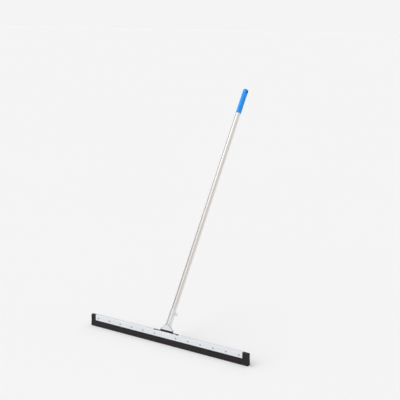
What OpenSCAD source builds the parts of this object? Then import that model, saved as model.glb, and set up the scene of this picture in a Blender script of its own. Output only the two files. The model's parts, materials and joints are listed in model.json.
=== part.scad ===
// Floor squeegee. A folded steel rail clamps two foam strips, and a flared sheet socket in the rail
// takes a tubular handle with a plastic grip, held by a wing screw. Sizes in millimetres.
// The blade runs along X and stands on the floor at Z = 0, and the handle leans back towards +Y.
// The origin is the middle of the blade's foot.

/* [Blade] */
// Length of the foam strips
blade_length = 900; // [600:10:1200]
// How far the foam runs past the rail at each end
blade_overhang = 30; // [10:1:60]
// Thickness of one foam strip
strip_thickness = 8; // [7:0.5:12]
// Height of foam that shows below the rail
lip_height = 32; // [20:1:50]
// How far each lip leans outward at the floor
lip_lean = 3; // [1:0.5:6]

/* [Rail] */
// Height of the rail's walls, web included
rail_height = 28; // [26:1:40]
// Thickness of the rail's sheet
rail_sheet = 1.2; // [0.8:0.1:1.5]
// Outer radius of the two folds along the top
rail_fold = 2.5; // [2:0.1:3.5]

/* [Rivets] */
// Rivets on each side of the socket
rivets_per_side = 6; // [3:1:9]
// Distance between the two rivets beside the socket
rivet_centre_gap = 121.5; // [110:0.5:160]
// Distance from the last rivet to the rail's end
rivet_end_margin = 17; // [10:1:40]
// Height of the rivets above the rail's lower edge
rivet_rise = 12; // [11:0.5:14]
// Diameter of a rivet's shank
rivet_d = 4; // [3:0.1:5]
// Diameter of a rivet's domed head
rivet_head_d = 8; // [7:0.5:10]
// Height of a rivet's domed head
rivet_head_h = 1.8; // [1:0.1:3]
// Diameter of the flat tail that closes a rivet at the rear
rivet_tail_d = 7; // [6:0.5:9]
// Thickness of the tail
rivet_tail_h = 1.2; // [0.8:0.1:2]
// Gap around a rivet's shank in its holes
rivet_gap = 0.1; // [0.05:0.05:0.3]

/* [Socket] */
// Lean of the handle from upright, in degrees
handle_lean = 34.5; // [20:0.5:45]
// Thickness of the socket's sheet, which lies double in the base
socket_sheet = 1.5; // [1:0.1:1.8]
// Depth of the socket's bend below the top of the rail
bend_drop = 5.5; // [4:0.5:6]
// Width of the flare where it leaves the rail
flare_width = 74; // [60:1:90]
// Height of the flare, from flat to round
flare_height = 34; // [28:1:50]
// Height of the flat neck that shows above the rail
neck_rise = 1.5; // [1:0.1:4]
// Height of the flare's foot that is left open at the front
mouth_rise = 4; // [3:0.5:8]
// Distance of the pressed front's tip below the round part
facet_drop = 4; // [2:0.5:8]
// Angle between the pressed front and the handle, in degrees
facet_lean = 23; // [20:0.5:24]
// Length of the round part that holds the handle
socket_length = 73; // [60:1:100]
// Margin of the base around its two rivets
base_edge = 10; // [8:0.5:10.5]
// Fall of the base's shoulders from the neck to its ends
base_slope = 10; // [6:0.5:11]
// Gap between the socket and the edges of the slot in the rail
slot_gap = 0.8; // [0.5:0.1:1.2]
// Diameter of the slot's round ends
slot_end_d = 14; // [10:0.5:15]

/* [Wing screw] */
// Diameter of the screw
screw_d = 6; // [5:1:8]
// Gap around the screw in its nut
screw_gap = 0.05; // [0.02:0.01:0.1]
// Distance of the screw from the top of the socket
screw_drop = 19; // [14:1:30]
// Height of the welded nut
nut_height = 4.5; // [4:0.5:7]
// Size of the welded nut across its flats
nut_flats = 10; // [10:0.5:14]
// Length of thread that shows between nut and hub
screw_reach = 1; // [1:0.5:6]
// Diameter of the screw's hub
hub_d = 10; // [9:0.5:14]
// Length of the hub
hub_length = 6; // [5:0.5:12]
// Distance across the tips of the two wings
wing_span = 22; // [20:1:36]
// How far the wing tips reach out past the hub's middle
wing_reach = 3.5; // [3:0.5:10]
// Width of one wing
wing_width = 6; // [5:0.5:10]
// Thickness of the wings
wing_thickness = 2.4; // [1.5:0.1:4]

/* [Handle] */
// Outer diameter of the handle's tube
handle_d = 25; // [22:0.5:30]
// Wall of the handle's tube
handle_wall = 1.2; // [0.8:0.1:2]
// Length of the handle's tube
handle_length = 1237; // [900:1:1500]
// Gap around the handle in the socket
handle_gap = 0.2; // [0.1:0.05:0.4]
// Gap below the handle and ahead of the screw's tip
seat_gap = 0.3; // [0.2:0.05:0.5]

/* [Grip] */
// Length of the grip
grip_length = 140; // [110:1:200]
// Wall of the grip over the tube
grip_wall = 1.2; // [0.8:0.1:2.5]
// Gap between the grip and the tube
grip_gap = 0.05; // [0.02:0.01:0.1]
// Length of the solid end past the tube
grip_end = 34; // [28:1:45]
// Radius of the rounded end
grip_round = 9; // [5:0.5:11]
// Diameter of the hanging hole
hang_d = 14; // [8:0.5:17]
// Distance of the hanging hole from the end
hang_drop = 17; // [15:0.5:20]

/* [Hidden] */
$fn = 64;

// Overlap of cutting shapes past the faces that they cut
over = 1;

rail_length = blade_length - 2 * blade_overhang;
rail_width = 2 * strip_thickness + 2 * rail_sheet;
rail_top = lip_height + rail_height;
strip_top = rail_top - rail_fold;

rivet_z = lip_height + rivet_rise;
rivet_first = rivet_centre_gap / 2;
rivet_pitch = (rail_length / 2 - rivet_end_margin - rivet_first) / (rivets_per_side - 1);

// Socket: double sheet at the base, a bend inside the rail and an axis that leans back from it
base_half = socket_sheet;
base_width = rivet_centre_gap + 2 * base_edge;
base_bottom = rivet_z - base_edge;
bend_z = rail_top - bend_drop;
slot_length = base_width + 2 * slot_gap;
slot_front = base_half + slot_gap;
slot_rear = bend_drop * tan(handle_lean) + base_half / cos(handle_lean) + slot_gap;
slot_width = slot_front + slot_rear;
slot_y = (slot_rear - slot_front) / 2;
bore_r = handle_d / 2 + handle_gap;
socket_r = bore_r + socket_sheet;

// Heights along the leaning axis, from the bend
flare_z = (bend_drop + neck_rise + base_half * sin(handle_lean)) / cos(handle_lean);
round_z = flare_z + flare_height;
socket_top = round_z + socket_length;
handle_z = round_z + over / 2 + seat_gap;
screw_z = socket_top - screw_drop;
grip_r = handle_d / 2 + grip_gap + grip_wall;
grip_top = handle_z + handle_length + grip_end;

// Places along the screw's axis, from the socket's axis
nut_face = socket_r + nut_height;
hub_x = nut_face + screw_reach;
screw_tip = handle_d / 2 + seat_gap;

// Rings and points around the lofted flare
loft_rings = 15;
loft_sides = 40;
// Corner sharpness of a ring: 2 is round, more is boxier
flat_power = 4;
round_power = 2;
// Share of the flare's height that keeps the full width
flare_shoulder = 0.2;
// How its sides draw in and its corners round off on the way up
side_power = 1.5;
corner_power = 0.8;
// Share of its height where its two walls part
flare_parting = 0.03;
// The loft's ends sit just inside the neck and the round part that they run into, the upper one by a late taper
end_shrink = 0.97;
taper_power = 8;

steel = [0.88, 0.9, 0.93];
zinc = [0.8, 0.81, 0.82];
foam = [0.19, 0.17, 0.17];
aluminium = [0.82, 0.8, 0.77];
blue = [0.16, 0.53, 0.93];

// Rectangle on the X axis with its two upper corners rounded
module round_topped(width, height, radius) {
    translate([-width / 2, 0]) square([width, height - radius]);
    translate([radius - width / 2, 0]) square([width - 2 * radius, height]);
    for (side = [-1, 1]) translate([side * (width / 2 - radius), height - radius]) circle(radius);
}

// Straight bar with round ends between two points
module capsule(from, to, width) {
    run = to - from;
    translate(from) {
        circle(d = width);
        translate(run) circle(d = width);
        rotate(atan2(run.y, run.x)) translate([0, -width / 2]) square([norm(run), width]);
    }
}

// Extrudes a YZ outline along X, centred
module along_x(length) {
    rotate([90, 0, 90]) translate([0, 0, -length / 2]) linear_extrude(length) children();
}

// Places its children at the bend, with Z up the leaning handle and Y out of its back
module leaning() {
    translate([0, 0, bend_z]) rotate([-handle_lean, 0, 0]) children();
}

// Places its children on each of the rivets from one count to another, on both sides
module at_rivets(first, last) {
    for (side = [-1, 1], i = [first : last])
        translate([side * (rivet_first + i * rivet_pitch), 0, rivet_z]) children();
}

module rivet_holes(first, last) {
    at_rivets(first, last) rotate([90, 0, 0])
        cylinder(h = 2 * rail_width, r = rivet_d / 2 + rivet_gap, center = true);
}

// Domed head at the front, shank through the rail and a flat tail at the rear
module rivet() {
    head_r = rivet_head_d / 2;
    dome_r = (head_r * head_r + rivet_head_h * rivet_head_h) / (2 * rivet_head_h);
    rotate([90, 0, 0]) {
        cylinder(h = rail_width + 2 * rivet_tail_h, d = rivet_d, center = true);
        translate([0, 0, -rail_width / 2 - rivet_tail_h]) cylinder(h = rivet_tail_h, d = rivet_tail_d);
        translate([0, 0, rail_width / 2]) intersection() {
            translate([0, 0, rivet_head_h - dome_r]) sphere(dome_r);
            cylinder(h = rivet_head_h, r = rivet_head_d);
        }
    }
}

// Inverted channel with a slot in its web for the socket
module rail() {
    color(steel) difference() {
        along_x(rail_length) translate([0, lip_height]) difference() {
            round_topped(rail_width, rail_height, rail_fold);
            translate([0, -over]) round_topped(2 * strip_thickness, rail_height - rail_sheet + over,
                                               rail_fold - rail_sheet);
        }
        translate([0, 0, rail_top - rail_fold]) linear_extrude(rail_fold + over) {
            translate([0, slot_y]) square([slot_length - slot_end_d, slot_width], center = true);
            for (side = [-1, 1]) translate([side * (slot_length - slot_end_d) / 2, 0]) circle(d = slot_end_d);
        }
        rivet_holes(0, rivets_per_side - 1);
    }
}

// Foam strip at the front: straight in the rail, with a lip that leans out below it
module strip() {
    difference() {
        along_x(blade_length) polygon([
            [0, strip_top], [-strip_thickness, strip_top], [-strip_thickness, lip_height],
            [-strip_thickness - lip_lean, 0], [-lip_lean, 0], [0, lip_height]
        ]);
        translate([-slot_length / 2, -rail_width, bend_z - base_half])
            cube([slot_length, 2 * rail_width, rail_height]);
        translate([-base_width / 2, -base_half, base_bottom]) cube([base_width, rail_width, rail_height]);
        rivet_holes(0, rivets_per_side - 1);
    }
}

module front_strip() {
    color(foam) strip();
}

module rear_strip() {
    color(foam) mirror([0, 1, 0]) strip();
}

module strip_rivets() {
    color(zinc) at_rivets(1, rivets_per_side - 1) rivet();
}

module socket_rivets() {
    color(zinc) at_rivets(0, 0) rivet();
}

// One point of a boxy ellipse
function ring_point(angle, half_x, half_y, power) = [
    half_x * sign(cos(angle)) * pow(abs(cos(angle)), 2 / power),
    half_y * sign(sin(angle)) * pow(abs(sin(angle)), 2 / power)
];

// Half sizes of the flare at a share t of its height: wide and flat at 0, round at 1
function flare_half_x(t) = socket_r + (flare_width / 2 - socket_r)
    * pow(min(1, (1 - t) / (1 - flare_shoulder)), side_power);
function flare_half_y(t) = base_half + (socket_r - base_half) * t * (2 - t);
function flare_power(t) = flat_power + (round_power - flat_power) * pow(t, corner_power);

function flare_ring(t, z, inset, shrink) = [
    for (i = [0 : loft_sides - 1])
        let (p = ring_point(360 * (i + 0.5) / loft_sides, (flare_half_x(t) - inset) * shrink,
                            (flare_half_y(t) - inset) * shrink, flare_power(t)))
        [p.x, p.y, z]
];

// Solid skin over a stack of rings
module loft(rings) {
    n = len(rings[0]);
    m = len(rings);
    polyhedron(
        points = [for (ring = rings) for (p = ring) p],
        faces = concat(
            [[for (i = [0 : n - 1]) i]],
            [for (k = [0 : m - 2], i = [0 : n - 1]) [k * n + i, (k + 1) * n + i, k * n + (i + 1) % n]],
            [for (k = [0 : m - 2], i = [0 : n - 1])
                [k * n + (i + 1) % n, (k + 1) * n + i, (k + 1) * n + (i + 1) % n]],
            [[for (i = [n - 1 : -1 : 0]) (m - 1) * n + i]]
        )
    );
}

// Flare from a share of its height up to the round part, set in from the outside
module flare(start, inset, foot) {
    loft(concat(
        [flare_ring(start, flare_z + start * flare_height - foot, inset, end_shrink)],
        [for (k = [0 : loft_rings]) let (t = start + (1 - start) * k / loft_rings)
            flare_ring(t, flare_z + t * flare_height, inset, 1 - (1 - end_shrink) * pow(t, taper_power))],
        [flare_ring(1, round_z + over, inset, end_shrink)]
    ));
}

// Space in front of the flare's pressed flat front, set back from it
module before_facet(back) {
    tip_z = round_z - facet_drop;
    tip_y = flare_half_y((tip_z - flare_z) / flare_height);
    translate([0, back / cos(facet_lean) - tip_y, tip_z]) rotate([facet_lean, 0, 0])
        translate([-flare_width, -socket_r, -2 * flare_height]) cube([2 * flare_width, socket_r, 3 * flare_height]);
}

// Space in front of the flare's foot, where its front wall is left open above the rail
module socket_mouth() {
    half = flare_width / 2 + base_half;
    translate([-half, -socket_r, 0]) cube([2 * half, socket_r, flare_z + mouth_rise]);
}

// Plate inside the rail, and the neck that bends back out of it
module socket_base() {
    end = base_width / 2;
    neck = flare_width / 2 + base_half;
    difference() {
        translate([0, base_half, 0]) rotate([90, 0, 0]) linear_extrude(2 * base_half) polygon([
            [-end, base_bottom], [end, base_bottom], [end, rail_top - base_slope],
            [neck, rail_top], [-neck, rail_top], [-end, rail_top - base_slope]
        ]);
        translate([-neck, -base_half - over, bend_z])
            cube([2 * neck, 2 * base_half + 2 * over, rail_height]);
        rivet_holes(0, 0);
    }
    along_x(flare_width) translate([0, bend_z]) {
        circle(base_half);
        rotate(-handle_lean) translate([-base_half, 0]) square([2 * base_half, flare_z]);
    }
}

// Tube pressed out into a wide flat flare, whose rear wall runs on into the plate inside the rail
module socket() {
    color(zinc) difference() {
        union() {
            socket_base();
            leaning() {
                difference() {
                    flare(0, 0, over);
                    before_facet(0);
                }
                translate([0, 0, round_z]) cylinder(h = socket_length, r = socket_r);
            }
        }
        leaning() {
            difference() {
                flare(flare_parting, socket_sheet, 0);
                before_facet(socket_sheet);
            }
            translate([0, 0, round_z + over / 2]) cylinder(h = socket_length + over, r = bore_r);
            socket_mouth();
            translate([0, 0, screw_z]) rotate([0, 90, 0])
                cylinder(h = 2 * socket_r, r = screw_d / 2 + screw_gap);
        }
    }
}

// Hexagon nut welded to the side of the socket
module screw_nut() {
    color(zinc) leaning() difference() {
        translate([bore_r - over, 0, screw_z]) rotate([0, 90, 0]) rotate(30)
            cylinder(h = nut_face - bore_r + over, d = nut_flats / cos(30), $fn = 6);
        cylinder(h = socket_top + over, r = socket_r);
        translate([0, 0, screw_z]) rotate([0, 90, 0])
            cylinder(h = 2 * nut_face, r = screw_d / 2 + screw_gap);
    }
}

// Screw with a round hub and two wings along the handle
module wing_screw() {
    hub_middle = [hub_x + hub_length / 2, 0];
    color(zinc) leaning() translate([0, 0, screw_z]) {
        rotate([0, 90, 0]) {
            translate([0, 0, screw_tip]) cylinder(h = hub_x + over - screw_tip, d = screw_d);
            translate([0, 0, hub_x]) cylinder(h = hub_length, d = hub_d);
        }
        rotate([90, 0, 0]) translate([0, 0, -wing_thickness / 2]) linear_extrude(wing_thickness)
            for (side = [-1, 1])
                capsule(hub_middle, hub_middle + [wing_reach, side * (wing_span - wing_width) / 2], wing_width);
    }
}

module handle_tube() {
    color(aluminium) leaning() translate([0, 0, handle_z]) difference() {
        cylinder(h = handle_length, d = handle_d);
        translate([0, 0, -over]) cylinder(h = handle_length + 2 * over, d = handle_d - 2 * handle_wall);
    }
}

// Sleeve over the tube with a solid rounded end and a hole to hang it by
module handle_grip() {
    sleeve = grip_length - grip_end;
    color(blue) leaning() translate([0, 0, grip_top - grip_length]) difference() {
        rotate_extrude() intersection() {
            round_topped(2 * grip_r, grip_length, grip_round);
            square([grip_r, grip_length]);
        }
        translate([0, 0, -over]) cylinder(h = sleeve + over, r = handle_d / 2 + grip_gap);
        translate([0, 0, grip_length - hang_drop]) rotate([0, 90, 0])
            cylinder(h = 2 * grip_r + 2 * over, d = hang_d, center = true);
    }
}

rail();
front_strip();
rear_strip();
strip_rivets();
socket();
socket_rivets();
screw_nut();
wing_screw();
handle_tube();
handle_grip();
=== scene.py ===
"""Floor squeegee in a soft studio: foam lips, riveted rail, flared socket, tube and grooved grip."""
import json
from math import atan2, cos, pi, radians, sin, tan

import bmesh
import bpy
from mathutils import Matrix, Vector, noise


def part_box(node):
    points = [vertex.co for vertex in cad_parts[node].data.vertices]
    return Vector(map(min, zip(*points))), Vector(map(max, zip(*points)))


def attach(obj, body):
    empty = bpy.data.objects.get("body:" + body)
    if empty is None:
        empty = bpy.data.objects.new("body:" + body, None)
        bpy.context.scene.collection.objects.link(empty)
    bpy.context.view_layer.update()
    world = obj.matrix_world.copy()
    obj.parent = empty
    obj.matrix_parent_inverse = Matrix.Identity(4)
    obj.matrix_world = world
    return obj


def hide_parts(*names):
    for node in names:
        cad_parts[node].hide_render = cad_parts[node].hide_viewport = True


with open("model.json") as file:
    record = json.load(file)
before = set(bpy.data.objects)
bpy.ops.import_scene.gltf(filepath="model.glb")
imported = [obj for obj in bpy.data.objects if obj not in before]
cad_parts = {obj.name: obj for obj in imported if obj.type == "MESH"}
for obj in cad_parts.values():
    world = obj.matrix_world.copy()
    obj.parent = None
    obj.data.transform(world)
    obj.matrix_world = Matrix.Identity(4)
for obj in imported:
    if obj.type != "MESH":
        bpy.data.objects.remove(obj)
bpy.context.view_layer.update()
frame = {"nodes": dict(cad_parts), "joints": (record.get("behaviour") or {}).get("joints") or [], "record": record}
nodes = frame["nodes"]

MM = 0.001

# Mesh making: points nearer than a weld become one, and the angles are those between faces
WELD = 0.005 * MM
SOCKET_WELD = 0.06 * MM
SPLINTER = 0.002 * MM  # shorter edges are dropped
SAME_PLANE = radians(0.5)
SMOOTH_BELOW = radians(35)
SMOOTH_BELOW_ON_GRIP = radians(40)
SOFTENED_ABOVE = radians(40)
RIVET_SEGMENTS = 32
TUBE_SEGMENTS = 72
GRIP_SEGMENTS = 96
HANG_HOLE_SEGMENTS = 64

# Rail
RAIL_SHEET = 1.2 * MM
RAIL_EDGE = 0.2 * MM

# Foam strips: their rounded edges, the steps along them, and how the lips lean,
# as a share of the solid's lean that wanders along the blade, in noise steps per metre
FRONT, REAR = -1, 1
FOAM_EDGE = 0.7 * MM
FOAM_EDGE_STEPS = 3
FOAM_END = 0.9 * MM
FOAM_PACE = 6 * MM
RELIEF_STEP = 0.05 * MM  # to each side of the step beside the socket's base
LIP_LEAN_SHARE = 0.88
LIP_WANDER_SHARE = 0.17
SLOW_WANDER = 14
QUICK_WANDER = 55

# Rivets
RIVETS_PER_SIDE = 6
RIVET_SHANK_R = 2.0 * MM
RIVET_HOLLOW_R = 1.35 * MM
RIVET_HOLLOW_RIM = 0.35 * MM
RIVET_HOLLOW_EDGE = 0.15 * MM
RIVET_HEAD_EDGE = 0.15 * MM
RIVET_TAIL_R = 3.5 * MM

# Socket, nut and screw: the pressed front is a leaning plane through its tip,
# which lies out from the handle's line and up along it, and painted shade follows its creases
BEND_BELOW_RAIL_TOP = 5.5 * MM
BASE_HALF = 1.5 * MM
FACET_TIP_OUT = 14.02 * MM
FACET_TIP_UP = 39.5 * MM
FACET_LEAN = radians(23)
CREASE_RISE = (0.03 * MM, 0.12 * MM)
CREASE_FADE = (0.9 * MM, 2.2 * MM)
CREASE_END = 2 * MM
MOUTH_TOP = 13.5 * MM
NECK_DEPTH = 3 * MM
RIM_BAND = 0.1 * MM
SOCKET_RIM_EDGE = 0.3 * MM
NUT_EDGE = 0.35 * MM
SCREW_EDGE = 0.6 * MM

# Handle
TUBE_WALL = 1.2 * MM
TUBE_EDGE = 0.3 * MM
TUBE_ROWS = 24
GRIP_WALL = 1.2 * MM
GRIP_SOLID_END = 34.0 * MM
GRIP_DOME = 9.0 * MM
GRIP_EDGE = 0.5 * MM
GRIP_PLAIN_END = 30 * MM  # without grooves
GROOVES = 14
GROOVE_DEPTH = 0.35 * MM
GROOVE_WIDTH = 2.0 * MM
FIRST_GROOVE = 10 * MM
LAST_GROOVE_FROM_END = 40 * MM
HANG_HOLE_R = 7.0 * MM
HANG_HOLE_FLARE = 2.6 * MM
HANG_HOLE_FLARE_DEPTH = 3.4 * MM
HANG_HOLE_OVERCUT = 2 * MM  # the cutter's reach past the grip
HANG_HOLE_SHADE = 1.5 * MM  # over which the painted shade in the bore fades

# Camera, as fitted to the photograph: a 400 pixel frame
FRAME_PX = 400
FOCAL_PX = 818
SENSOR_MM = 36
CAMERA_AZIMUTH = radians(32.46)
CAMERA_ELEVATION = radians(13.62)
CAMERA_DISTANCE = 3.886
CAMERA_REACH = 200
AIM_RIGHT = 0.1612
AIM_UP = 0.683

# Light: the level all round, the pale background and a broad lamp
AROUND = 0.64
BACKGROUND = 0.905
LAMP_ENERGY = 1.43
LAMP_WIDTH = radians(80)
LAMP_WAY = (-0.58, -0.45, 0.72)
FLOOR_HALF = 40.0

# What shiny surfaces find in the studio: its direction, the angles from there in degrees
# at which it begins to fade and has faded, and what it adds to the background
REFLECTED = [
    ("soft box", (-0.50, -0.33, 0.80), 9, 17, 2.0),
    ("window", (0.14, -0.66, 0.74), 6, 16, 0.55),
    ("ceiling", (-0.30, 0.10, 0.95), 10, 45, 0.05),
    ("pale front", (-0.52, -0.85, 0.08), 8, 22, 0.30),
    ("dark left", (-0.97, 0.05, 0.20), 20, 48, -0.37),
    ("dark right", (0.82, -0.32, 0.48), 6, 16, -0.28),
    ("dark lower left", (-0.54, -0.61, 0.58), 8, 17, -0.36),
    ("dark back", (-0.52, 0.82, 0.24), 10, 28, -0.18)]

# Places read from the frame
handle_pull = next(j for j in frame["joints"] if j["name"] == "handle_pull")
handle_up = Vector(handle_pull["axis"]).normalized()
handle_lean = atan2(handle_up.y, handle_up.z)
handle_rear = Vector((0, cos(handle_lean), -sin(handle_lean)))
hang_hole = Vector(next(m["pos_m"] for m in frame["record"]["mounts"] if m["name"] == "hang_hole"))

rail_low, rail_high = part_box("rail")
strip_low, strip_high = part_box("front_strip")
strip_thickness = rail_high.y - RAIL_SHEET
lip_height = rail_low.z
lip_lean = -strip_low.y - strip_thickness

socket_foot = Vector((0, 0, rail_high.z - BEND_BELOW_RAIL_TOP))
socket_top = max(v.co.dot(handle_up) for v in nodes["socket"].data.vertices)
base_half_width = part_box("socket")[1].x
relief_top = socket_foot.z - BASE_HALF

inner_rivets_low, inner_rivets_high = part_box("socket_rivets")
rivet_r = (inner_rivets_high.z - inner_rivets_low.z) / 2
rivet_z = inner_rivets_low.z + rivet_r
rivet_first = inner_rivets_high.x - rivet_r
rivet_pitch = (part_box("strip_rivets")[1].x - rivet_r - rivet_first) / (RIVETS_PER_SIDE - 1)


# Meshes

def make_piece(name, verts, faces, finish):
    """Mesh object with one material, welded and shaded."""
    mesh = bpy.data.meshes.new(name)
    mesh.from_pydata([tuple(v) for v in verts], [], faces)
    tidy_mesh(mesh, SMOOTH_BELOW)
    return show(mesh, finish)


def show(mesh, finish):
    """Puts a mesh into the scene with its material."""
    piece = bpy.data.objects.new(mesh.name, mesh)
    bpy.context.scene.collection.objects.link(piece)
    mesh.materials.append(finish)
    return piece


def tidy_mesh(mesh, smooth_below):
    """Welds a mesh, points its faces outward and marks its sharp edges."""
    bm = bmesh.new()
    bm.from_mesh(mesh)
    bmesh.ops.remove_doubles(bm, verts=bm.verts, dist=WELD)
    bmesh.ops.dissolve_degenerate(bm, edges=bm.edges, dist=SPLINTER)
    bmesh.ops.recalc_face_normals(bm, faces=bm.faces)
    shade_by_angle(bm, smooth_below)
    bm.to_mesh(mesh)
    bm.free()


def shade_by_angle(bm, smooth_below):
    """Smooth wherever two faces meet at less than the angle."""
    for face in bm.faces:
        face.smooth = True
    for edge in bm.edges:
        edge.smooth = len(edge.link_faces) == 2 and edge.calc_face_angle(pi) < smooth_below


def quarter(steps):
    """Angles from 0 to a right angle."""
    return [pi / 2 * k / steps for k in range(steps + 1)]


def rounded(corners, radius, steps):
    """Closed outline with an arc at each corner."""
    outline = []
    for i, corner in enumerate(corners):
        here = Vector(corner)
        to_last = (Vector(corners[i - 1]) - here).normalized()
        to_next = (Vector(corners[(i + 1) % len(corners)]) - here).normalized()
        half = to_last.angle(to_next) / 2
        reach = radius / tan(half)
        centre = here + (to_last + to_next).normalized() * (radius / sin(half))
        first, last = here + to_last * reach - centre, here + to_next * reach - centre
        turn = first.angle_signed(last)
        for k in range(steps + 1):
            a = -turn * k / steps
            outline.append(centre + Vector((first.x * cos(a) - first.y * sin(a),
                                            first.x * sin(a) + first.y * cos(a))))
    return outline


def lathe(profile, segments):
    """Vertices and faces of a profile of (radius, height) points turned about Z."""
    verts = [(r * cos(2 * pi * k / segments), r * sin(2 * pi * k / segments), z)
             for r, z in profile for k in range(segments)]
    faces = [(i * segments + k, i * segments + (k + 1) % segments,
              (i + 1) * segments + (k + 1) % segments, (i + 1) * segments + k)
             for i in range(len(profile) - 1) for k in range(segments)]
    return verts, faces


def loft(rings):
    """Vertices and faces of a skin over equal closed rings, capped at both ends."""
    n = len(rings[0])
    verts = [p for ring in rings for p in ring]
    faces = [(k * n + i, k * n + (i + 1) % n, (k + 1) * n + (i + 1) % n, (k + 1) * n + i)
             for k in range(len(rings) - 1) for i in range(n)]
    last = (len(rings) - 1) * n
    return verts, faces + [tuple(range(n))[::-1], tuple(range(last, last + n))]


def cut(piece, cutter):
    """Takes the cutter's space out of a piece and drops the cutter."""
    step = piece.modifiers.new("cut", "BOOLEAN")
    step.object, step.solver = cutter, "EXACT"
    graph = bpy.context.evaluated_depsgraph_get()
    mesh = bpy.data.meshes.new_from_object(piece.evaluated_get(graph))
    piece.modifiers.clear()
    piece.data = mesh
    bpy.data.objects.remove(cutter)


def worked_copy(node, name, finish, edge_radius, soft_at, weld):
    """Copy of a CAD node, welded, with its edges softened at the points that soft_at takes."""
    bm = bmesh.new()
    bm.from_mesh(nodes[node].data)
    bmesh.ops.remove_doubles(bm, verts=bm.verts, dist=weld)
    bmesh.ops.dissolve_limit(bm, angle_limit=SAME_PLANE, verts=bm.verts, edges=bm.edges)
    sharp = [e for e in bm.edges
             if len(e.link_faces) == 2 and e.calc_face_angle(0) > SOFTENED_ABOVE
             and all(soft_at(v.co) for v in e.verts)]
    bmesh.ops.bevel(bm, geom=sharp, offset=edge_radius, segments=2, profile=0.5,
                    affect="EDGES", clamp_overlap=True)
    shade_by_angle(bm, SMOOTH_BELOW)
    mesh = bpy.data.meshes.new(name)
    bm.to_mesh(mesh)
    bm.free()
    piece = show(mesh, finish)
    piece.modifiers.new("flat_faces_stay_flat", "WEIGHTED_NORMAL").keep_sharp = True
    return piece


# Shaders

class Value:
    """A socket's value, which takes part in Python arithmetic by adding Math nodes."""

    def __init__(self, finish, socket):
        self.finish, self.socket = finish, socket

    def _math(self, operation, *terms):
        return self.finish.node("ShaderNodeMath", {"operation": operation}, dict(enumerate(terms)))

    def __add__(self, other):
        return self._math("ADD", self, other)

    def __sub__(self, other):
        return self._math("SUBTRACT", self, other)

    def __rsub__(self, other):
        return self._math("SUBTRACT", other, self)

    def __mul__(self, other):
        return self._math("MULTIPLY", self, other)

    def __pow__(self, other):
        return self._math("POWER", self, other)

    def __mod__(self, other):
        return self._math("FLOORED_MODULO", self, other)

    def __abs__(self):
        return self._math("ABSOLUTE", self)

    __radd__, __rmul__ = __add__, __mul__

    def ramp(self, low, high):
        """0 at low and 1 at high, smooth between them."""
        return self.finish.node("ShaderNodeMapRange", {"interpolation_type": "SMOOTHSTEP"},
                                {"Value": self, "From Min": low, "From Max": high})


class Nodes:
    """A node tree that is built by plain calls."""

    def __init__(self, tree):
        self.tree = tree

    def node(self, kind, settings=None, inputs=None, output=0):
        """Adds a node: first its settings, then the values or links of its sockets."""
        made = self.tree.nodes.new(kind)
        for key, value in (settings or {}).items():
            setattr(made, key, value)
        for key, value in (inputs or {}).items():
            self.set(made.inputs[key], value)
        return Value(self, made.outputs[output])

    def set(self, socket, value):
        """Links a value to a socket, or sets a plain number, vector or colour there."""
        if isinstance(value, Value):
            self.tree.links.new(value.socket, socket)
        else:
            socket.default_value = value


class Finish(Nodes):
    """A procedural material with one Principled shader, and the nodes that feed it.

    With along_handle its coordinates are turned so that Z runs along the handle."""

    def __init__(self, name, along_handle=False, **constants):
        self.material = bpy.data.materials.new(name)
        self.material.use_nodes = True
        super().__init__(self.material.node_tree)
        self.shader = self.tree.nodes["Principled BSDF"]
        self.feed(**constants)
        self.place = self.node("ShaderNodeTexCoord", output="Object")
        if along_handle:
            self.place = self.node("ShaderNodeMapping", {"vector_type": "POINT"},
                                   {"Vector": self.place, "Rotation": (handle_lean, 0, 0)})

    def feed(self, **sockets):
        """Sets the shader's sockets or links values to them."""
        for socket, value in sockets.items():
            self.set(self.shader.inputs[socket.replace("_", " ")], value)
        return self.material

    def axes(self):
        """The three coordinates in metres, as values."""
        split = self.node("ShaderNodeSeparateXYZ", inputs={0: self.place})
        return [Value(self, socket) for socket in split.socket.node.outputs]

    def stretched(self, *by):
        """The coordinates, each times its own number."""
        return self.node("ShaderNodeVectorMath", {"operation": "MULTIPLY"}, {0: self.place, 1: by})

    def noise(self, scale, detail=3.0, roughness=0.5, at=None):
        return self.node("ShaderNodeTexNoise", inputs={
            "Vector": at or self.place, "Scale": scale, "Detail": detail, "Roughness": roughness})

    def cells(self, scale, at=None, output="Distance"):
        return self.node("ShaderNodeTexVoronoi", {"feature": "F1"},
                         {"Vector": at or self.place, "Scale": scale}, output)

    def blend(self, share, first, second):
        """Mix of two colours."""
        return self.node("ShaderNodeMix", {"data_type": "RGBA"}, {0: share, 6: first, 7: second}, 2)

    def bump(self, height, depth, strength=1.0):
        return self.node("ShaderNodeBump",
                         inputs={"Height": height, "Distance": depth, "Strength": strength})


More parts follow.
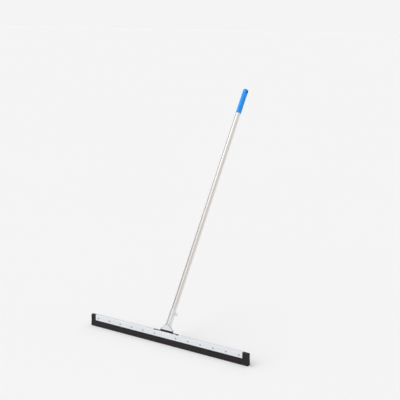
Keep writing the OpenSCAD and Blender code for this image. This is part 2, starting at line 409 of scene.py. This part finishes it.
def galvanised_sheet():
    """Blue-white hot-dipped zinc: faint spangle, scratches, grime and painted shade at the rivets."""
    shade, light = (0.825, 0.85, 0.89, 1), (0.89, 0.91, 0.94, 1)
    bared, grime_and_shade_grey = (0.93, 0.94, 0.95, 1), (0.30, 0.31, 0.33, 1)
    finish = Finish("galvanised_sheet", Metallic=1.0)
    x, _, z = finish.axes()
    spangle = finish.cells(95, finish.stretched(1.0, 1.0, 1.4), "Color")
    grain = finish.node("ShaderNodeSeparateColor", inputs={0: spangle})
    cloud = finish.noise(22, 4)
    scratch = finish.noise(60, 6, 0.7, finish.stretched(0.06, 9.0, 9.0)).ramp(0.58, 0.76)
    along = (abs(x) - rivet_first + rivet_pitch / 2) % rivet_pitch - rivet_pitch / 2
    from_rivet = (along * along + (z - rivet_z) * (z - rivet_z)) ** 0.5
    # A dark ring round each rivet head: partly grime, partly painted shade where head meets sheet.
    rivet_grime_and_shade = (1 - from_rivet.ramp(rivet_r * 0.95, rivet_r * 1.3)) * 0.7
    tone = finish.blend(grain * 0.55 + cloud * 0.45, shade, light)
    worn = finish.blend(scratch * 0.25, tone, bared)
    return finish.feed(
        Base_Color=finish.blend(rivet_grime_and_shade, worn, grime_and_shade_grey),
        Roughness=0.40 + grain * 0.10 + cloud * 0.08 - scratch * 0.10,
        Normal=finish.bump(grain * 0.25 + scratch * 0.4 + cloud * 0.6, 0.05 * MM))


def zinc_plate(name, dark, bright, dull, crease_shaded=False):
    """Zinc plating on pressed steel, between two greys, with soft clouds and press marks."""
    shade = (dark, dark * 1.012, dark * 1.025, 1)
    light = (bright, bright * 1.01, bright * 1.015, 1)
    marked = (dark * 0.75, dark * 0.75, dark * 0.75, 1)
    grime_and_shade_grey = (0.12, 0.12, 0.125, 1)
    finish = Finish(name, along_handle=True, Metallic=1.0)
    cloud = finish.noise(70, 4)
    mark = finish.noise(420, 3, 0.65, finish.stretched(1.0, 1.0, 0.22))
    tone = finish.blend(cloud, shade, light)
    tone = finish.blend(mark.ramp(0.58, 0.8) * 0.3, tone, marked)
    # Painted shade: a darker grey along the creases of the pressed front.
    if crease_shaded:
        tone = finish.blend(painted_crease_shade(finish), tone, grime_and_shade_grey)
    return finish.feed(
        Base_Color=tone,
        Roughness=dull + cloud * 0.12 + mark * 0.06,
        Normal=finish.bump(mark + cloud * 0.5, 0.04 * MM))


def painted_crease_shade(finish):
    """Painted shade along the two creases of the socket's pressed front, just behind its plane."""
    _, y, z = finish.axes()
    out = y - socket_foot.dot(handle_rear)
    up = z - socket_foot.dot(handle_up)
    behind = (out + FACET_TIP_OUT) * cos(FACET_LEAN) + (up - FACET_TIP_UP) * sin(FACET_LEAN)
    line = behind.ramp(*CREASE_RISE) * (1 - behind.ramp(*CREASE_FADE))
    return line * (1 - up.ramp(FACET_TIP_UP, FACET_TIP_UP + CREASE_END)) * 0.9


def painted_cavity_shade():
    """Painted shade: a near-black, speckled finish on the sheet inside the socket and the rail."""
    deepest_shade, lighter_shade, speck_grey = (0.012, 0.013, 0.015, 1), (0.040, 0.042, 0.046, 1), (0.07, 0.068, 0.065, 1)
    finish = Finish("painted_cavity_shade", along_handle=True, Specular_IOR_Level=0.35)
    cloud = finish.noise(120, 5, 0.6)
    speck = finish.cells(700)
    tone = finish.blend(cloud, deepest_shade, lighter_shade)
    return finish.feed(
        Base_Color=finish.blend((1 - speck.ramp(0.1, 0.5)) * 0.3, tone, speck_grey),
        Roughness=0.62 + cloud * 0.25,
        Normal=finish.bump(cloud + speck * 0.4, 0.25 * MM, 0.7))


def drawn_aluminium():
    """Drawn tube: warm silver with fine lines along its length and a few handling marks."""
    shade, light, rubbed = (0.66, 0.635, 0.60, 1), (0.80, 0.775, 0.745, 1), (0.52, 0.50, 0.48, 1)
    finish = Finish("drawn_aluminium", along_handle=True, Metallic=1.0)
    line = finish.noise(900, 3, 0.6, finish.stretched(1.0, 1.0, 0.004))
    cloud = finish.noise(14, 4)
    mark = finish.noise(180, 5, 0.7, finish.stretched(1.0, 1.0, 0.5)).ramp(0.66, 0.8)
    tone = finish.blend(line * 0.7 + cloud * 0.3, shade, light)
    return finish.feed(
        Base_Color=finish.blend(mark * 0.25, tone, rubbed),
        Roughness=0.15 + line * 0.10 + mark * 0.12,
        Normal=finish.bump(line + mark * 0.3, 0.03 * MM))


def blue_plastic():
    """Glossy moulded plastic with a fine grain, and painted shade, a deeper blue, in the hanging hole."""
    shade, light = (0.001, 0.236, 0.84, 1), (0.002, 0.276, 0.92, 1)
    grainy, hole_shade_blue = (0.003, 0.33, 0.98, 1), (0.001, 0.045, 0.52, 1)
    finish = Finish("blue_plastic", along_handle=True,
                    Specular_IOR_Level=0.95, Specular_Tint=(0.45, 0.92, 1.0, 1))
    grain = finish.cells(1500)
    cloud = finish.noise(60, 3)
    tone = finish.blend(cloud, shade, light)
    tone = finish.blend(grain * 0.25, tone, grainy)
    # Painted shade: a deeper blue inside the hanging hole, fading out just past the bore.
    _, y, z = finish.axes()
    aside = y - hang_hole.dot(handle_rear)
    along = z - hang_hole.dot(handle_up)
    from_axis_squared = aside * aside + along * along
    outside = from_axis_squared.ramp(HANG_HOLE_R ** 2, (HANG_HOLE_R + HANG_HOLE_SHADE) ** 2)
    return finish.feed(
        Base_Color=finish.blend(0.85 - outside * 0.85, tone, hole_shade_blue),
        Roughness=0.20 + grain * 0.12 + cloud * 0.08,
        Normal=finish.bump(grain, 0.02 * MM, 0.6))


def foam_rubber():
    """Black closed-cell foam: matt skin, open pores in painted shade, a brown cast, a trace of dust."""
    shade, light = (0.0140, 0.0114, 0.0124, 1), (0.0230, 0.0195, 0.0208, 1)
    pore_shade, dusty = (0.006, 0.005, 0.005, 1), (0.10, 0.092, 0.088, 1)
    finish = Finish("foam_rubber", Specular_IOR_Level=0.2, Sheen_Weight=0.05, Sheen_Roughness=0.6)
    pore = finish.cells(520)
    coarse = finish.cells(190)
    cloud = finish.noise(26, 5, 0.6)
    open_pore = (1 - pore.ramp(0.12, 0.42)) * 0.8 + (1 - coarse.ramp(0.05, 0.24)) * 0.5
    dust = finish.noise(900, 2).ramp(0.62, 0.85) * cloud
    tone = finish.blend(cloud, shade, light)
    # Painted shade: the open pores are darkened.
    tone = finish.blend(open_pore * 0.5, tone, pore_shade)
    return finish.feed(
        Base_Color=finish.blend(dust * 0.22, tone, dusty),
        Roughness=0.80 + open_pore * 0.12 - cloud * 0.06,
        Normal=finish.bump(cloud * 0.4 - open_pore, 0.35 * MM, 0.8))


GALVANISED = galvanised_sheet()
SOCKET_ZINC = zinc_plate("socket_zinc", dark=0.71, bright=0.84, dull=0.18, crease_shaded=True)
SCREW_ZINC = zinc_plate("screw_zinc", dark=0.76, bright=0.90, dull=0.34)
# The rivets' zinc is set darker, as painted shade of their hollows and the gaps round their heads.
RIVET_ZINC = zinc_plate("rivet_zinc", dark=0.48, bright=0.62, dull=0.36)
CAVITY_SHADE = painted_cavity_shade()
ALUMINIUM = drawn_aluminium()
BLUE = blue_plastic()
FOAM = foam_rubber()


# Foam strips

def strip_outline(x, lean, inset):
    """Section of the front strip at a place along the blade, which leans out below the rail."""
    by_socket = abs(x) < base_half_width
    top = (relief_top if by_socket else strip_high.z) - inset
    inner = -(BASE_HALF if by_socket else 0.0) - inset
    outer, foot = inset - strip_thickness, inset
    return rounded([(inner, top), (outer, top), (outer, lip_height), (outer - lean, foot),
                    (-lean - inset, foot), (inner, lip_height)], FOAM_EDGE, FOAM_EDGE_STEPS)


def foam_strip(name, node, side):
    """Foam strip whose lip wanders a little along its length, as cut foam does."""
    half = strip_high.x
    spans = round(2 * half / FOAM_PACE)
    stops = [-half + FOAM_END + (2 * half - 2 * FOAM_END) * k / spans for k in range(spans + 1)]
    stops += [s * (base_half_width + d) for s in (-1, 1) for d in (-RELIEF_STEP, RELIEF_STEP)]
    rings = []
    for x, inset in [(-half, FOAM_END)] + [(x, 0.0) for x in sorted(stops)] + [(half, FOAM_END)]:
        slow = noise.noise(Vector((x * SLOW_WANDER, side * 3.1, 0.0)))
        quick = noise.noise(Vector((x * QUICK_WANDER, side, 4.0)))
        lean = lip_lean * (LIP_LEAN_SHARE + LIP_WANDER_SHARE * (slow * 0.5 + quick * 0.2))
        rings.append([Vector((x, -side * p.x, p.y)) for p in strip_outline(x, lean, inset)])
    piece = make_piece(name, *loft(rings), FOAM)
    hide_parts(node)
    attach(piece, "head")


foam_strip("front_foam", "front_strip", FRONT)
foam_strip("rear_foam", "rear_strip", REAR)


# Rail, socket and fasteners

def everywhere(place):
    """Takes every point."""
    return True


def at_rim(place):
    """Whether a point lies on the socket's upper rim, whose cut edge is rounded."""
    return place.dot(handle_up) > socket_top - RIM_BAND


def worked(node, name, finish, edge_radius, body="head", soft_at=everywhere, weld=WELD):
    """Metal piece with softened edges in place of its CAD node."""
    piece = worked_copy(node, name, finish, edge_radius, soft_at, weld)
    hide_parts(node)
    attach(piece, body)
    return piece


def shade_socket_inside(piece):
    """Puts painted shade on the socket's inside, and on the neck below its open mouth."""
    piece.data.materials.append(CAVITY_SHADE)
    for face in piece.data.polygons:
        out = face.center - socket_foot
        height = out.dot(handle_up)
        out -= handle_up * height
        inside = height > 0 and out.dot(face.normal) < -0.2 * out.length
        neck = (-NECK_DEPTH < height < MOUTH_TOP and out.dot(handle_rear) > -NECK_DEPTH
                and face.normal.dot(handle_rear) < -0.4)
        face.material_index = int(inside or neck)


def shade_rail_inside(piece):
    """Puts painted shade on the rail's inside, which shows through its slot, and on the slot's edge."""
    piece.data.materials.append(CAVITY_SHADE)
    for face in piece.data.polygons:
        at, way = face.center, face.normal
        wall = abs(at.y) < rail_high.y - RAIL_SHEET / 2 and at.y * way.y < -0.3 * abs(at.y)
        ceiling = at.z < rail_high.z - RAIL_SHEET / 2 and way.z < -0.5
        in_top = at.z > rail_high.z - RAIL_SHEET and abs(at.y) < strip_thickness - RAIL_SHEET
        slot_edge = in_top and way.z < 0.6 and abs(at.x) < rail_high.x / 2
        face.material_index = int(wall or ceiling or slot_edge)


shade_rail_inside(worked("rail", "rail_sheet", GALVANISED, RAIL_EDGE))
shade_socket_inside(worked("socket", "socket_sheet", SOCKET_ZINC, SOCKET_RIM_EDGE,
                   soft_at=at_rim, weld=SOCKET_WELD))
worked("screw_nut", "welded_nut", SCREW_ZINC, NUT_EDGE)
worked("wing_screw", "winged_screw", SCREW_ZINC, SCREW_EDGE, "screw")


def rivets(name, node, places):
    """Semi-tubular rivets: a low domed head with a hollow in it, a shank and a flat rear tail."""
    low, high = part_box(node)
    head_h, tail_h = rail_low.y - low.y, high.y - rail_high.y
    depth = rail_high.y - rail_low.y
    crown_r = RIVET_HOLLOW_R + RIVET_HOLLOW_RIM
    pore_shade = [(0, head_h * 0.1), (RIVET_HOLLOW_R * 0.8, head_h * 0.1),
              (RIVET_HOLLOW_R, head_h * 0.35), (RIVET_HOLLOW_R, head_h * 0.86),
              (RIVET_HOLLOW_R + RIVET_HOLLOW_EDGE, head_h * 0.97)]
    dome = [(crown_r + (rivet_r - crown_r) * sin(a), head_h * cos(a) ** 0.7)
            for a in quarter(8)[:-1]]
    shank = [(rivet_r, RIVET_HEAD_EDGE), (rivet_r, 0), (RIVET_SHANK_R, 0), (RIVET_SHANK_R, -depth)]
    tail = [(RIVET_TAIL_R, -depth), (RIVET_TAIL_R, -depth - tail_h * 0.7),
            (RIVET_TAIL_R - tail_h * 0.3, -depth - tail_h), (0, -depth - tail_h)]
    turned, skin = lathe(pore_shade + dome + shank + tail, RIVET_SEGMENTS)
    verts, faces = [], []
    for place in places:
        faces += [tuple(len(verts) + i for i in f) for f in skin]
        verts += [(place.x + vx, place.y - vz, place.z + vy) for vx, vy, vz in turned]
    piece = make_piece(name, verts, faces, RIVET_ZINC)
    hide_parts(node)
    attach(piece, "head")


rivet_places = [[Vector((side * (rivet_first + k * rivet_pitch), rail_low.y, rivet_z))
                 for side in (-1, 1)] for k in range(RIVETS_PER_SIDE)]
rivets("socket_rivet_set", "socket_rivets", rivet_places[0])
rivets("strip_rivet_set", "strip_rivets", sum(rivet_places[1:], []))


# Handle

def extent_on_handle(node):
    """A node's lowest and highest place along the handle, from the hanging hole, and its radius."""
    heights = [(v.co - hang_hole).dot(handle_up) for v in nodes[node].data.vertices]
    low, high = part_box(node)
    return min(heights), max(heights), (high.x - low.x) / 2


def set_on_handle(piece, height):
    """Moves a mesh made about Z onto the handle's line."""
    piece.data.transform(Matrix.Translation(hang_hole + handle_up * height)
                         @ Matrix.Rotation(-handle_lean, 4, "X"))


def handle_tube():
    """Drawn tube, open at both ends."""
    low, high, radius = extent_on_handle("handle_tube")
    length, bore = high - low, radius - TUBE_WALL
    wall = [(bore, TUBE_EDGE), (bore + TUBE_EDGE, 0), (radius - TUBE_EDGE, 0), (radius, TUBE_EDGE)]
    wall += [(radius, TUBE_EDGE + (length - 2 * TUBE_EDGE) * k / TUBE_ROWS)
             for k in range(1, TUBE_ROWS)]
    wall += [(radius, length - TUBE_EDGE), (radius - TUBE_EDGE, length), (bore + TUBE_EDGE, length),
             (bore, length - TUBE_EDGE), (bore, TUBE_EDGE)]
    piece = make_piece("drawn_tube", *lathe(wall, TUBE_SEGMENTS), ALUMINIUM)
    set_on_handle(piece, low)
    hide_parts("handle_tube")
    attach(piece, "handle")


def hanging_hole(radius, height):
    """Space of the hole across the grip, flared at both mouths."""
    reach, mouth = radius + HANG_HOLE_OVERCUT, radius - HANG_HOLE_FLARE_DEPTH
    bell = [(HANG_HOLE_R + HANG_HOLE_FLARE * (1 - cos(a)), mouth + (reach - mouth) * sin(a))
            for a in quarter(8)]
    profile = [(0, -reach)] + [(r, -z) for r, z in reversed(bell)] + bell + [(0, reach)]
    space = make_piece("hanging_hole", *lathe(profile, HANG_HOLE_SEGMENTS), BLUE)
    space.matrix_world = Matrix.Translation((0, 0, height)) @ Matrix.Rotation(pi / 2, 4, "Y")
    bpy.context.view_layer.update()
    return space


def handle_grip():
    """Sleeve with shallow grooves around it, a rounded solid end and a flared hanging hole."""
    low, high, radius = extent_on_handle("handle_grip")
    length, bore = high - low, radius - GRIP_WALL
    sleeve, last_groove = length - GRIP_SOLID_END, length - LAST_GROOVE_FROM_END
    profile = [(0, sleeve), (bore, sleeve), (bore, GRIP_EDGE), (bore + GRIP_EDGE, 0),
               (radius - GRIP_EDGE, 0), (radius, GRIP_EDGE)]
    for k in range(GROOVES):
        middle = FIRST_GROOVE + (last_groove - FIRST_GROOVE) * k / (GROOVES - 1)
        for j in range(-3, 4):
            depth = GROOVE_DEPTH * (0.5 + 0.5 * cos(pi * j / 3))
            profile.append((radius - depth, middle + GROOVE_WIDTH * j / 6))
    profile += [(radius, length - GRIP_PLAIN_END)]
    profile += [(radius - GRIP_DOME + GRIP_DOME * cos(a), length - GRIP_DOME + GRIP_DOME * sin(a))
                for a in quarter(12)]
    profile += [(0, length)]
    piece = make_piece("ribbed_grip", *lathe(profile, GRIP_SEGMENTS), BLUE)
    cut(piece, hanging_hole(radius, -low))
    tidy_mesh(piece.data, SMOOTH_BELOW_ON_GRIP)
    set_on_handle(piece, low)
    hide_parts("handle_grip")
    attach(piece, "handle")


handle_tube()
handle_grip()


# Studio

def studio_floor():
    """Plain pale floor that takes the object's shadow."""
    shade, light = (0.945, 0.945, 0.945, 1), (0.955, 0.955, 0.955, 1)
    finish = Finish("studio_floor", Roughness=0.9, Specular_IOR_Level=0.1)
    finish.feed(Base_Color=finish.blend(finish.noise(0.6, 2), shade, light))
    corners = [(sx * FLOOR_HALF, sy * FLOOR_HALF, 0)
               for sx, sy in ((-1, -1), (1, -1), (1, 1), (-1, 1))]
    floor = make_piece("studio_floor", corners, [(0, 1, 2, 3)], finish.material)


def studio_light():
    """Even pale surroundings with parts that shiny surfaces reflect, and a lamp at the front left."""
    world = bpy.data.worlds.new("studio")
    bpy.context.scene.world = world
    world.use_nodes = True
    sky = Nodes(world.node_tree)
    camera, glossy, through = (sky.node("ShaderNodeLightPath", output=ray)
                               for ray in ("Is Camera Ray", "Is Glossy Ray", "Is Transmission Ray"))
    way = sky.node("ShaderNodeTexCoord", output="Generated")
    found = 0.0
    for name, middle, inner, outer, strength in REFLECTED:
        near = sky.node("ShaderNodeVectorMath", {"operation": "DOT_PRODUCT", "label": name},
                        {0: way, 1: Vector(middle).normalized()}, "Value")
        found = near.ramp(cos(radians(outer)), cos(radians(inner))) * strength + found
    backdrop = world.node_tree.nodes["Background"].inputs
    sky.set(backdrop["Color"], (1, 1, 1, 1))
    sky.set(backdrop["Strength"],
            (camera + glossy + through) * (BACKGROUND - AROUND) + glossy * found + AROUND)
    lamp = bpy.data.lights.new("broad_lamp", "SUN")
    lamp.energy, lamp.angle = LAMP_ENERGY, LAMP_WIDTH
    hung = bpy.data.objects.new("broad_lamp", lamp)
    bpy.context.scene.collection.objects.link(hung)
    hung.visible_glossy = False
    hung.rotation_euler = Vector(LAMP_WAY).to_track_quat("Z", "Y").to_euler()


def studio_camera():
    """The photograph's view, by its angles and by the point on the object at the frame's middle."""
    a, e = CAMERA_AZIMUTH, CAMERA_ELEVATION
    right = Vector((cos(a), sin(a), 0))
    ahead = Vector((-sin(a) * cos(e), cos(a) * cos(e), -sin(e)))
    up = right.cross(ahead)
    place = right * AIM_RIGHT + up * AIM_UP - ahead * CAMERA_DISTANCE
    lens = bpy.data.cameras.new("view")
    lens.sensor_width, lens.lens = SENSOR_MM, FOCAL_PX / FRAME_PX * SENSOR_MM
    lens.clip_end = CAMERA_REACH
    camera = bpy.data.objects.new("view", lens)
    bpy.context.scene.collection.objects.link(camera)
    turned = Matrix((right, up, -ahead)).transposed().to_4x4()
    camera.matrix_world = Matrix.Translation(place) @ turned
    bpy.context.scene.camera = camera


studio_floor()
studio_light()
studio_camera()
bpy.context.scene.view_settings.view_transform = "Standard"
